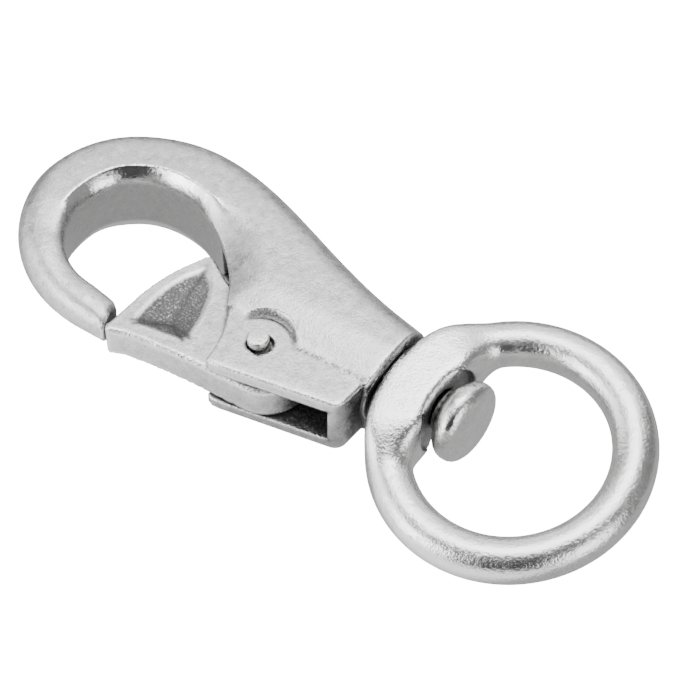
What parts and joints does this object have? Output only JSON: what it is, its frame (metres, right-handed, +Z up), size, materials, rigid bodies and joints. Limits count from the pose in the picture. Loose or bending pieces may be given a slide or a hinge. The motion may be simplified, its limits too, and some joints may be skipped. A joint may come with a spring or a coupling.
{
  "type": "swivel snap hook",
  "caption": "Cast snap hook with an inward-opening spring gate between two cheeks and a round ring eye that swivels on a headed stud.",
  "frame": {"origin": "on the plane the hook lies on, under the swivel axis, 14.3 mm from the casting's swivel end", "axes": "+X along the swivel axis from the hook to the ring, +Y to the solid back of the shank, +Z up through the thickness"},
  "size_m": [0.0898, 0.034, 0.0114],
  "materials": {
    "cast_satin": "satin cast stainless steel, lightly blasted",
    "polished": "bright tumbled stainless steel",
    "spring_wire": "drawn spring wire"
  },
  "bodies": {
    "hook": {"hook_body": "cast_satin", "gate_pin": "polished", "swivel_stud": "polished"},
    "gate": {"gate": "cast_satin", "gate_spring": "spring_wire"},
    "ring": {"swivel_eye": "polished"}
  },
  "joints": [
    {"name": "gate_hinge", "type": "hinge", "parent": "hook", "child": "gate", "pos_m": [0.0005, -0.0083, 0.0057], "axis": [0, 0, -1], "range_deg": [0, 28], "stiffness_Nm_per_rad": 0.05, "springref_deg": -28.65},
    {"name": "swivel", "type": "hinge", "parent": "hook", "child": "ring", "pos_m": [0.015, 0, 0.0057], "axis": [1, 0, 0], "continuous": true}
  ]
}
